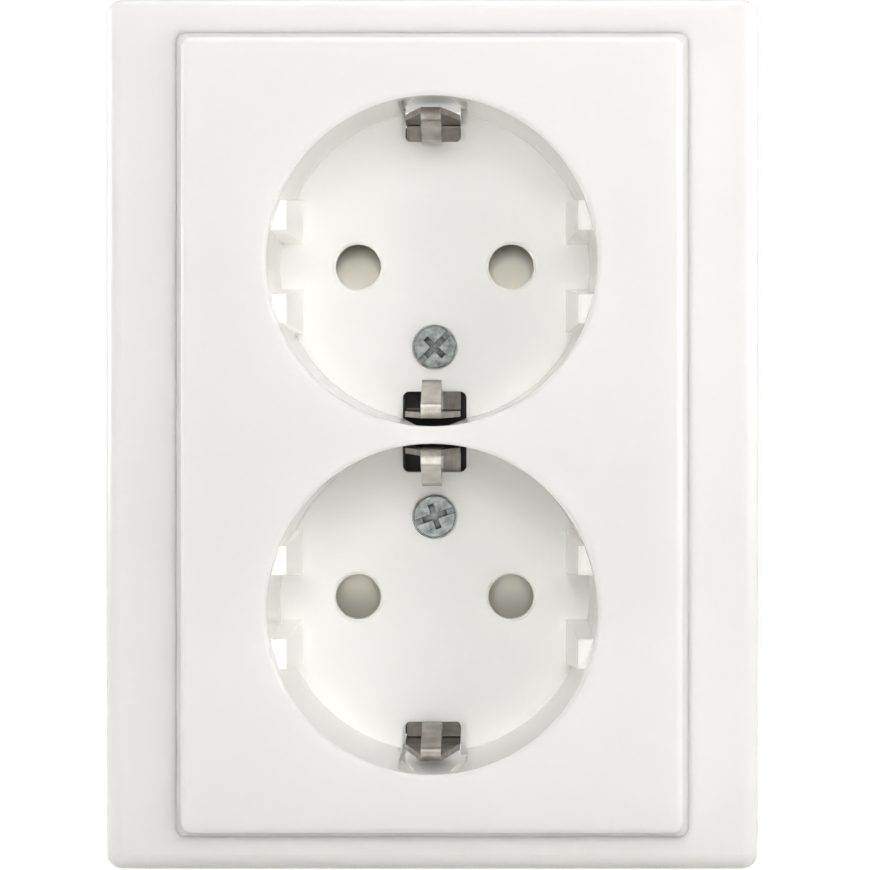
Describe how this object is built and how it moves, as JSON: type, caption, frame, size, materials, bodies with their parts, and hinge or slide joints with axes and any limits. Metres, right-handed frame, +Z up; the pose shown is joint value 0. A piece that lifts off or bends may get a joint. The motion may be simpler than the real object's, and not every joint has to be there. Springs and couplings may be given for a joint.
{
  "type": "double socket outlet",
  "caption": "Flush-mounted double mains socket: a raised plate with round plug wells, earth clips and shuttered pin holes in a plain frame.",
  "frame": {"origin": "on the wall plane, midway between the box screws", "axes": "+Z up the wall, along the row of wells; +Y into the wall; the front faces -Y; +X right"},
  "size_m": [0.0798, 0.045, 0.1058],
  "materials": {
    "white_plastic": "moulded, semi-gloss",
    "dark_plastic": "moulded, matt",
    "ivory_plastic": "moulded",
    "plated_steel": "zinc plated",
    "plated_spring": "nickel plated strip",
    "contact_brass": "rolled strip"
  },
  "bodies": {
    "housing": {"outer_frame": "white_plastic", "centre_plate": "white_plastic", "cover_screws": "plated_steel", "cover_nuts": "plated_steel", "shutter_spring_upper": "plated_spring", "shutter_spring_lower": "plated_spring", "shutter_deck": "dark_plastic", "base": "dark_plastic", "base_screws": "plated_steel", "base_rivets": "plated_steel", "support_plate": "plated_steel", "earth_bracket_upper": "plated_spring", "earth_bracket_lower": "plated_spring", "earth_rivets": "plated_steel", "line_contact": "contact_brass", "neutral_contact": "contact_brass", "line_clamp_plate": "plated_steel", "neutral_clamp_plate": "plated_steel", "earth_clamp_plate": "plated_steel", "line_terminal_screw": "plated_steel", "neutral_terminal_screw": "plated_steel", "earth_terminal_screw": "plated_steel"},
    "upper_shutter": {"shutter_upper": "ivory_plastic"},
    "lower_shutter": {"shutter_lower": "ivory_plastic"}
  },
  "joints": [
    {"name": "upper_shutter_slide", "type": "slide", "parent": "housing", "child": "upper_shutter", "axis": [0, 0, -1], "range_m": [0, 0.0066], "stiffness_N_per_m": 60, "springref_m": -0.004, "deforming": ["shutter_spring_upper"]},
    {"name": "lower_shutter_slide", "type": "slide", "parent": "housing", "child": "lower_shutter", "axis": [0, 0, 1], "range_m": [0, 0.0066], "stiffness_N_per_m": 60, "springref_m": -0.004, "deforming": ["shutter_spring_lower"]}
  ]
}
